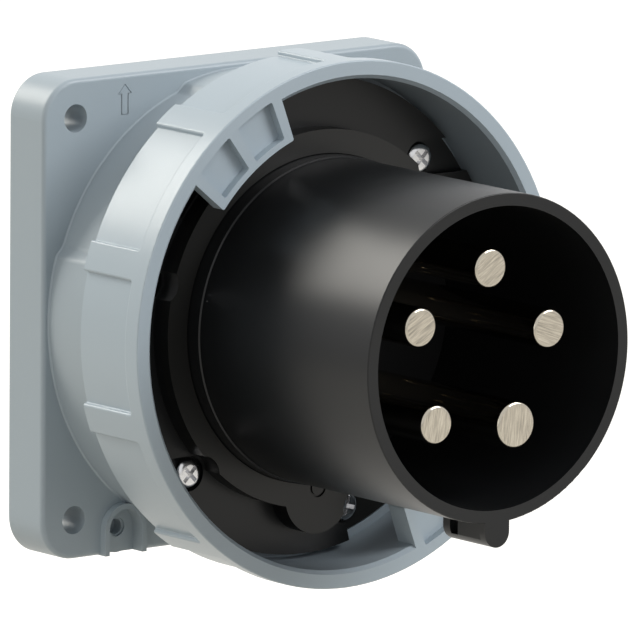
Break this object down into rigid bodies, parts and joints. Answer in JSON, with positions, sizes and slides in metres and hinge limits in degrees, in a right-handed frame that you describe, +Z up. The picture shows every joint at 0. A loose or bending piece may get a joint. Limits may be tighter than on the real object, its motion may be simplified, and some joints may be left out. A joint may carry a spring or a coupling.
{
  "type": "flanged power inlet",
  "caption": "Square-flanged panel power inlet with a black shroud, round brass contact pins and a turning bayonet ring that locks a connector.",
  "frame": {"origin": "centre of the four panel holes, in the plane of the flange's back face, on the inlet's axis", "axes": "+Z up, with the key at the bottom; the contact pins point along -Y, and the panel is on the +Y side"},
  "size_m": [0.1344, 0.1333, 0.1344],
  "materials": {
    "housing_plastic": "fine satin moulding, cool light grey",
    "ring_plastic": "satin moulding, cool light grey",
    "shroud_plastic": "semi-gloss black moulding",
    "seal_rubber": "matt dark grey",
    "gasket_rubber": "matt black",
    "screw_steel": "bright plated steel",
    "terminal_steel": "plated steel",
    "insert_brass": "knurled and turned brass",
    "carrier_plastic": "satin black moulding",
    "contact_brass": "fine turned brass"
  },
  "bodies": {
    "inlet": {"flange_housing": "housing_plastic", "panel_gasket": "gasket_rubber", "shroud": "shroud_plastic", "connector_seal": "seal_rubber", "insert_gasket": "gasket_rubber", "insert_screws": "screw_steel", "threaded_inserts": "insert_brass", "contact_carrier": "carrier_plastic", "carrier_oring": "gasket_rubber", "contact_retainer": "carrier_plastic", "phase_terminal_screws": "terminal_steel", "earth_terminal_screws": "terminal_steel", "pin_seals": "gasket_rubber", "retainer_screws": "screw_steel", "carrier_screws": "screw_steel", "pin_l1": "contact_brass", "pin_l2": "contact_brass", "pin_earth": "contact_brass", "pin_l3": "contact_brass", "pin_neutral": "contact_brass"},
    "locking_ring": {"bayonet_ring": "ring_plastic"}
  },
  "joints": [
    {"name": "ring_turn", "type": "hinge", "parent": "inlet", "child": "locking_ring", "pos_m": [0, -0.048, 0], "axis": [0, -1, 0], "range_deg": [0, 40]}
  ]
}
